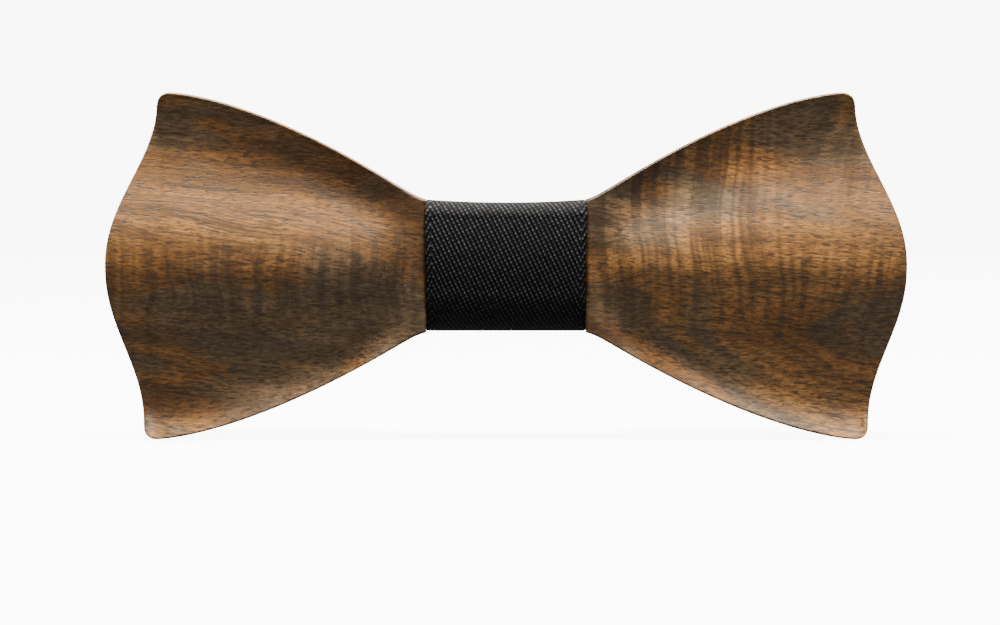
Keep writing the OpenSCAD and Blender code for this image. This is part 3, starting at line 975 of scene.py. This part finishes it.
def add_stitches():
    """The eye's two rows of stitches, the slide's one row, and the knot's seam."""
    low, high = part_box("eye_bartack")
    rows = [low[0] + TACK_REACH, high[0] - TACK_REACH]
    stitches = [s for x in rows for s in tack(x, low[1], 1)]
    stand_in(add_threads("eye_stitches", stitches, 0.13 * MM), "eye_bartack", "left_third_layer")

    low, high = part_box("slide_bartack")
    stitches = tack((low[0] + high[0]) / 2, high[1], -1)
    stand_in(add_threads("slide_stitches", stitches, 0.1 * MM), "slide_bartack", "adjuster")

    low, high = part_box("knot_seam")
    half = SEAM_STITCH / 2
    z = (low[2] + high[2]) / 2
    stitches = []
    for x in np.linspace(low[0] + half, high[0] - half, SEAM_STITCHES):
        # The band's back face is at y = 0.
        a, b = (x - half, z - 0.35 * MM), (x + half, z + 0.45 * MM)
        stitches.append(arch(a, b, 0, 0.02 * MM, 0.3 * MM))
    stand_in(add_threads("knot_stitches", stitches, 0.14 * MM), "knot_seam", "bow")


# ---------------------------------------------------------------- the clasp's metal

# The frames' bars are FRAME_W wide. Their arms run along the ribbon's edges, from ARM_IN to ARM_OUT.
FRAME_W = 1.2 * MM
ARM_IN = STRAP_W / 2 + 0.4 * MM
ARM_OUT = ARM_IN + FRAME_W
# The bars' places come from the CAD. The eye is on the left, and EYE_X is its bar's distance from the middle.
EYE_LOW, EYE_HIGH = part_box("strap_eye")
EYE_X, EYE_Y = -EYE_LOW[0] - BAR_R, LAYERS[2] + TURN_R
HOOK_X, HOOK_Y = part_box("strap_hook")[1][0] - BAR_R, UNDER + TURN_R
SLIDE_LOW, SLIDE_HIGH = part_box("slide_buckle")
SLIDE_Y = (SLIDE_LOW[1] + SLIDE_HIGH[1]) / 2
SLIDE_BARS = [SLIDE_HIGH[0] - FRAME_W / 2, (SLIDE_LOW[0] + SLIDE_HIGH[0]) / 2, SLIDE_LOW[0] + FRAME_W / 2]
SOFT_EDGE = 0.16 * MM
# How far from its bar the eye's yoke ends, half the width of its opening, and the width of its rim.
EYE_YOKE, EYE_HOLE, EYE_RIM = 5.2 * MM, 6 * MM, 1.3 * MM
# How far from its bar the hook's crosspiece is, and how wide.
HOOK_YOKE, HOOK_YOKE_W = 4.6 * MM, 1.6 * MM
# How far from the bar the tongue's bend is, the bend's radius, and half the tongue's width.
TONGUE_REACH, TONGUE_BEND, TONGUE_HALF = 15 * MM, 1.1 * MM, 3 * MM


def rounded_outline(corners, r, grow):
    """A closed outline with round corners, moved outwards by grow. Corners are (x, z), anticlockwise."""
    points, corners = [], np.array(corners)
    for i, corner in enumerate(corners):
        before, after = corners[i - 1] - corner, corners[(i + 1) % len(corners)] - corner
        # A round takes at most 45 % of the sides beside it.
        reach = min(r, 0.45 * np.linalg.norm(before), 0.45 * np.linalg.norm(after))
        a = corner + before / np.linalg.norm(before) * reach
        b = corner + after / np.linalg.norm(after) * reach
        for t in np.linspace(0, 1, 7):
            points.append((1 - t) ** 2 * a + 2 * t * (1 - t) * corner + t**2 * b)
    line = np.array(points)
    tangent = np.roll(line, -1, axis=0) - np.roll(line, 1, axis=0)
    tangent /= np.linalg.norm(tangent, axis=1)[:, None]
    return line + grow * np.stack([tangent[:, 1], -tangent[:, 0]], axis=1)


def add_plate(name, y, outlines):
    """Sheet metal with softened edges. Outlines are (corners, corner radius), the outer one before holes."""
    curve = bpy.data.curves.new(name, "CURVE")
    curve.dimensions, curve.fill_mode = "2D", "BOTH"
    curve.extrude = METAL_T / 2 - SOFT_EDGE
    curve.bevel_depth, curve.bevel_resolution = SOFT_EDGE, 3
    for i, (corners, r) in enumerate(outlines):
        line = rounded_outline(corners, r, SOFT_EDGE if i else -SOFT_EDGE)
        spline = curve.splines.new("POLY")
        spline.points.add(len(line) - 1)
        for point, (x, z) in zip(spline.points, line):
            point.co = (x, z, 0, 1)
        spline.use_cyclic_u = True
    drawn = bpy.data.objects.new(name + "_outline", curve)
    bpy.context.scene.collection.objects.link(drawn)
    bpy.context.view_layer.update()
    shown = drawn.evaluated_get(bpy.context.evaluated_depsgraph_get())
    mesh = bpy.data.meshes.new_from_object(shown)
    bpy.data.objects.remove(drawn)
    for vertex in mesh.vertices:
        x, z, depth = vertex.co
        vertex.co = (x, y + depth, z)
    mesh.materials.clear()
    mesh.materials.append(nickel)
    piece = bpy.data.objects.new(name, mesh)
    bpy.context.scene.collection.objects.link(piece)
    tidy_normals(piece)
    mesh.shade_smooth()
    mesh.set_sharp_from_angle(angle=math.radians(50))
    return piece


def add_bar(name, x, y, half_length):
    """A round bar along Z with domed ends."""
    points, sides = [], 32
    turns = np.linspace(0, 2 * math.pi, sides, endpoint=False)
    shaft = half_length - BAR_R
    dome = [(shaft + BAR_R * math.sin(a), BAR_R * math.cos(a)) for a in np.radians((0, 25, 50, 75))]
    profile = [(-z, r) for z, r in reversed(dome)] + dome
    for z, r in profile:
        points += [(x + r * math.cos(a), y + r * math.sin(a), z) for a in turns]
    size = len(profile), sides
    piece = mesh_piece(name, points, ring_faces(*size) + end_caps(*size), nickel)
    tidy_normals(piece)
    return piece


def block(x0, x1, z):
    """A rectangle's corners, from x0 to x1 and z each way."""
    return [(x0, -z), (x1, -z), (x1, z), (x0, z)]


def add_eye():
    """The eye: a sheet metal loop for the hook's tongue, on a yoke with a bar in the strap's sewn end."""
    yoke_end = -EYE_X + EYE_YOKE
    cross = yoke_end - FRAME_W
    tip = EYE_HIGH[0]
    loop = EYE_HOLE + EYE_RIM
    corners = [(-EYE_X, -ARM_OUT), (yoke_end, -ARM_OUT), (yoke_end, -loop), (tip, -loop), (tip, loop)]
    corners += [(yoke_end, loop), (yoke_end, ARM_OUT), (-EYE_X, ARM_OUT), (-EYE_X, ARM_IN), (cross, ARM_IN)]
    corners += [(cross, -ARM_IN), (-EYE_X, -ARM_IN)]
    opening = block(yoke_end, tip - EYE_RIM, EYE_HOLE)
    plate = add_plate("eye_plate", EYE_Y, [(corners, 0.9 * MM), (opening, 0.8 * MM)])
    stand_in(plate, "strap_eye", "eye")
    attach(add_bar("eye_bar", -EYE_X, EYE_Y, ARM_OUT), "eye")


def add_slide():
    """The slide: a frame with round corners and a round middle bar."""
    outer = block(SLIDE_LOW[0], SLIDE_HIGH[0], ARM_OUT)
    opening = block(SLIDE_LOW[0] + FRAME_W, SLIDE_HIGH[0] - FRAME_W, ARM_IN)
    plate = add_plate("slide_frame", SLIDE_Y, [(outer, 1.3 * MM), (opening, 0.6 * MM)])
    stand_in(plate, "slide_buckle", "adjuster")
    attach(add_bar("slide_bar", SLIDE_BARS[1], SLIDE_Y, ARM_IN + 0.5 * MM), "adjuster")


def add_hook():
    """The hook: a yoke with a bar in the strap's loop, and a flat tongue that is bent back over itself."""
    cross = HOOK_X - HOOK_YOKE
    near, far = cross + HOOK_YOKE_W / 2, cross - HOOK_YOKE_W / 2
    corners = [(HOOK_X, ARM_OUT), (far, ARM_OUT), (far, -ARM_OUT), (HOOK_X, -ARM_OUT), (HOOK_X, -ARM_IN)]
    corners += [(near, -ARM_IN), (near, ARM_IN), (HOOK_X, ARM_IN)]
    stand_in(add_plate("hook_plate", HOOK_Y, [(corners, 0.9 * MM)]), "strap_hook", "hook")
    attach(add_bar("hook_bar", HOOK_X, HOOK_Y, ARM_OUT), "hook")

    reach, bend = HOOK_X - TONGUE_REACH, TONGUE_BEND
    path = [(cross, HOOK_Y), (reach + 2 * MM, HOOK_Y), *arc_points(reach, HOOK_Y + bend, bend, 270, 90)]
    path += [(reach + 3 * MM, HOOK_Y + 2 * bend), (reach + 4.4 * MM, HOOK_Y + 2 * bend + 0.5 * MM)]
    middle, at, normal = spaced(path, 0.25 * MM)
    sections = []
    for left in at[-1] - at:
        # The tongue's last 2 mm narrow to a round tip.
        tip = TONGUE_HALF * (0.35 + 0.65 * math.sqrt(1 - (1 - min(left / (2 * MM), 1)) ** 2))
        edge = round_edge(tip, METAL_T / 2)
        front = edge + [(-z, n) for z, n in reversed(edge)]
        sections.append(front + [(z, -n) for z, n in reversed(front[1:-1])])
    tongue = strip_mesh("hook_tongue", middle, normal, sections, nickel)
    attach(tongue, "hook")


# ---------------------------------------------------------------- build

add_camera()
add_studio()

walnut = walnut_material()
twill = twill_material()
ribbon = ribbon_material()
thread = thread_material()
nickel = nickel_material()

wood = add_wood(walnut)
stand_in(wood, "bow_body", "bow")

knot, knot_length = add_knot(twill)
stand_in(knot, "knot_band", "bow")

centre_path = [(-OUTER, STRAP_Y), (OUTER, STRAP_Y)]
centre, centre_length = add_ribbon("strap_centre_ribbon", centre_path, -OUTER, CENTRE_WAVE)
stand_in(centre, "strap_centre", "strap_middle")
for side, word, finish_end in ((-1, "left", add_left_end), (1, "right", add_right_end)):
    layers = [f"{word}_{count}_layer" for count in ("first", "second", "third")]
    so_far, outer_turn = add_folded_side(side, word, ["strap_middle", *layers], OUTER)
    so_far = finish_end(so_far)
    print(word, "half of the strap, from its middle to its sewn end:", round(so_far / MM, 1), "mm")

add_stitches()
add_eye()
add_slide()
add_hook()
